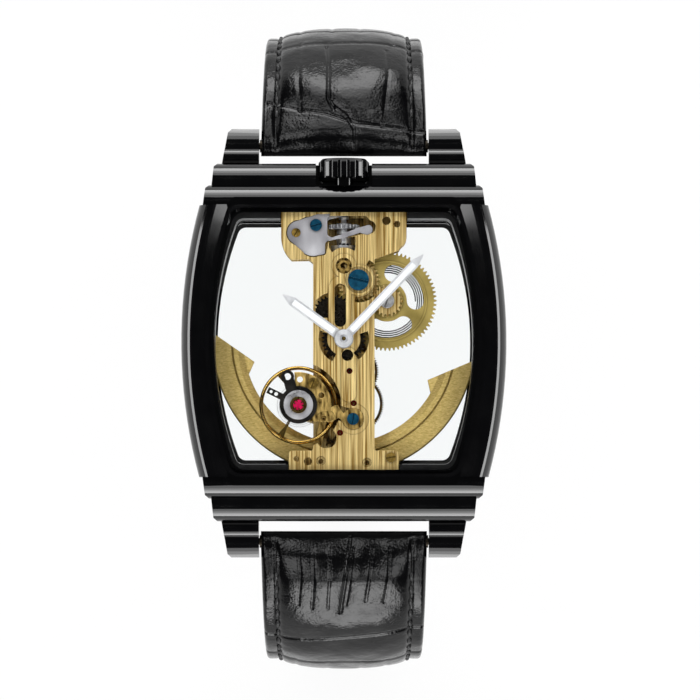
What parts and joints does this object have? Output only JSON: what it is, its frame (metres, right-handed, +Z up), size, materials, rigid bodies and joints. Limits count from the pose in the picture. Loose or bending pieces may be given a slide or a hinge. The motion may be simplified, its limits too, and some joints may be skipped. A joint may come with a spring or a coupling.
{
  "type": "wristwatch",
  "caption": "Rectangular skeleton wristwatch with a see-through case, a bar-shaped automatic bridge movement, crown at 12 o'clock and a buckled leather strap.",
  "frame": {"origin": "the middle of the case back's outer face, which rests on the wrist or a stand", "axes": "+Z up out of the dial, +Y towards 12 o'clock, +X towards 3 o'clock"},
  "size_m": [0.038, 0.0786, 0.1106],
  "materials": {
    "black_steel": "high gloss black plating over steel",
    "crystal": "polished clear mineral glass",
    "gasket": "matt",
    "gold": "lengthwise brushed, gold plated",
    "gold_polished": "polished, gold plated",
    "wheel_brass": "satin",
    "steel": "satin",
    "dark_steel": "dark polished",
    "blue_steel": "heat-blued, polished",
    "hand_steel": "polished",
    "lume": "matt white",
    "ruby": "polished ruby",
    "leather": "glossy black with a crocodile grain"
  },
  "bodies": {
    "head": {"case_middle": "black_steel", "bezel": "black_steel", "front_crystal": "crystal", "front_gasket": "gasket", "movement_ring": "black_steel", "case_back": "black_steel", "back_crystal": "crystal", "back_gasket": "gasket", "back_screws": "steel", "crown_tube": "black_steel", "setting_cover": "steel", "main_plate": "gold", "front_bridge": "gold", "bridge_screws": "blue_steel", "bridge_posts": "gold", "jewels": "ruby", "crown_wheel_screw": "blue_steel", "pallet_bridge": "gold", "balance_cock": "gold", "hairspring": "steel", "stud_holder": "dark_steel", "shock_spring": "gold_polished", "rotor_bearing": "steel", "spring_bars": "steel"},
    "clutch": {"clutch": "steel", "winding_pinion": "steel"},
    "crown": {"crown": "black_steel", "winding_stem": "steel"},
    "setting_lever": {"setting_lever": "steel"},
    "transfer_wheel": {"transfer_wheel": "wheel_brass"},
    "crown_wheel": {"crown_wheel": "gold"},
    "ratchet": {"ratchet_wheel": "gold", "barrel_arbor": "steel"},
    "click": {"click": "steel"},
    "barrel": {"barrel_drum": "wheel_brass", "barrel_lid": "wheel_brass", "mainspring": "steel"},
    "centre_wheel": {"centre_wheel": "wheel_brass"},
    "third_wheel": {"third_wheel": "wheel_brass"},
    "fourth_wheel": {"fourth_wheel": "wheel_brass"},
    "escape_wheel": {"escape_wheel": "steel"},
    "pallet_fork": {"pallet_fork": "steel"},
    "balance": {"balance_wheel": "gold_polished"},
    "regulator": {"regulator_index": "dark_steel"},
    "minute_hand": {"cannon_pinion": "steel", "minute_hand": "hand_steel", "minute_lume": "lume"},
    "minute_wheel": {"minute_wheel": "dark_steel"},
    "hour_hand": {"hour_wheel": "dark_steel", "hour_hand": "hand_steel", "hour_lume": "lume"},
    "rotor": {"rotor_weight": "gold", "rotor_arm": "gold"},
    "strap_12": {"strap_12": "leather", "buckle_bar": "steel", "keeper_fixed": "leather"},
    "strap_6": {"strap_6": "leather"},
    "keeper_sliding": {"keeper_sliding": "leather"},
    "buckle_frame": {"buckle_frame": "black_steel"},
    "buckle_tongue": {"buckle_tongue": "black_steel"}
  },
  "joints": [
    {"name": "crown_turn", "type": "hinge", "parent": "head", "child": "clutch", "pos_m": [0, 0.0114, 0.0064], "axis": [0, 1, 0], "continuous": true},
    {"name": "crown_pull", "type": "slide", "parent": "clutch", "child": "crown", "axis": [0, 1, 0], "range_m": [0, 0.0008]},
    {"name": "setting_lever_swing", "type": "hinge", "parent": "head", "child": "setting_lever", "pos_m": [-0.0056, 0.01275, 0.0072], "axis": [0, 0, 1], "range_deg": [0, 4.2]},
    {"name": "transfer_turn", "type": "hinge", "parent": "head", "child": "transfer_wheel", "pos_m": [0, 0.00887, 0.0077], "axis": [0, 0, 1], "continuous": true},
    {"name": "crown_wheel_turn", "type": "hinge", "parent": "head", "child": "crown_wheel", "pos_m": [0.00171, 0.00719, 0.0072], "axis": [0, 0, 1], "continuous": true},
    {"name": "ratchet_turn", "type": "hinge", "parent": "head", "child": "ratchet", "pos_m": [0.00505, 0.00479, 0.0071], "axis": [0, 0, 1], "continuous": true},
    {"name": "click_lift", "type": "hinge", "parent": "head", "child": "click", "pos_m": [0.00255, 0.0032, 0.0071], "axis": [0, 0, 1], "range_deg": [0, 12]},
    {"name": "fourth_turn", "type": "hinge", "parent": "head", "child": "fourth_wheel", "pos_m": [0.00115, -0.00725, 0.0058], "axis": [0, 0, 1], "continuous": true},
    {"name": "third_turn", "type": "hinge", "parent": "head", "child": "third_wheel", "pos_m": [0.00066, -0.00347, 0.0054], "axis": [0, 0, 1], "continuous": true},
    {"name": "centre_turn", "type": "hinge", "parent": "head", "child": "centre_wheel", "pos_m": [0, 0.00028, 0.0068], "axis": [0, 0, 1], "continuous": true},
    {"name": "barrel_turn", "type": "hinge", "parent": "head", "child": "barrel", "pos_m": [0.00505, 0.00479, 0.006], "axis": [0, 0, 1], "continuous": true},
    {"name": "escape_turn", "type": "hinge", "parent": "head", "child": "escape_wheel", "pos_m": [-0.00045, -0.01071, 0.0054], "axis": [0, 0, 1], "continuous": true},
    {"name": "pallet_swing", "type": "hinge", "parent": "head", "child": "pallet_fork", "pos_m": [-0.00239, -0.00903, 0.0054], "axis": [0, 0, 1], "range_deg": [-5, 5]},
    {"name": "balance_swing", "type": "hinge", "parent": "head", "child": "balance", "pos_m": [-0.00532, -0.00745, 0.007], "axis": [0, 0, 1], "range_deg": [-270, 270]},
    {"name": "regulator_turn", "type": "hinge", "parent": "head", "child": "regulator", "pos_m": [-0.00532, -0.00745, 0.0084], "axis": [0, 0, 1], "range_deg": [-12, 12]},
    {"name": "minute_hand_turn", "type": "hinge", "parent": "head", "child": "minute_hand", "pos_m": [0, 0.00028, 0.0094], "axis": [0, 0, 1], "continuous": true},
    {"name": "minute_wheel_turn", "type": "hinge", "parent": "head", "child": "minute_wheel", "pos_m": [-0.00125, 0.00312, 0.0071], "axis": [0, 0, 1], "continuous": true},
    {"name": "hour_hand_turn", "type": "hinge", "parent": "head", "child": "hour_hand", "pos_m": [0, 0.00028, 0.0089], "axis": [0, 0, 1], "continuous": true},
    {"name": "rotor_spin", "type": "hinge", "parent": "head", "child": "rotor", "pos_m": [0, 0, 0.0035], "axis": [0, 0, 1], "continuous": true},
    {"name": "strap_12_swing", "type": "hinge", "parent": "head", "child": "strap_12", "pos_m": [0, 0.0234, 0.002], "axis": [1, 0, 0], "range_deg": [0, 40]},
    {"name": "strap_6_swing", "type": "hinge", "parent": "head", "child": "strap_6", "pos_m": [0, -0.0234, 0.002], "axis": [-1, 0, 0], "range_deg": [0, 40]},
    {"name": "keeper_slide", "type": "slide", "parent": "strap_12", "child": "keeper_sliding", "axis": [0, 0, 1], "range_m": [-0.005, 0.003]},
    {"name": "buckle_turn", "type": "hinge", "parent": "strap_12", "child": "buckle_frame", "pos_m": [0, 0.0349, -0.06669], "axis": [1, 0, 0], "range_deg": [-60, 60]},
    {"name": "tongue_turn", "type": "hinge", "parent": "buckle_frame", "child": "buckle_tongue", "pos_m": [0, 0.0349, -0.06669], "axis": [1, 0, 0], "range_deg": [0, 70]}
  ],
  "couplings": [
    {"joint": "transfer_turn", "follows": "crown_turn", "ratio": -0.88889},
    {"joint": "crown_wheel_turn", "follows": "crown_turn", "ratio": 1.3333},
    {"joint": "ratchet_turn", "follows": "crown_turn", "ratio": -1.7778},
    {"joint": "third_turn", "follows": "fourth_turn", "ratio": -0.13333},
    {"joint": "centre_turn", "follows": "fourth_turn", "ratio": 0.016667},
    {"joint": "barrel_turn", "follows": "fourth_turn", "ratio": -0.0030952},
    {"joint": "escape_turn", "follows": "fourth_turn", "ratio": -10},
    {"joint": "minute_wheel_turn", "follows": "minute_hand_turn", "ratio": -0.33333},
    {"joint": "hour_hand_turn", "follows": "minute_hand_turn", "ratio": 0.083333},
    {"joint": "setting_lever_swing", "follows": "crown_pull", "rad_per_m": 90}
  ]
}
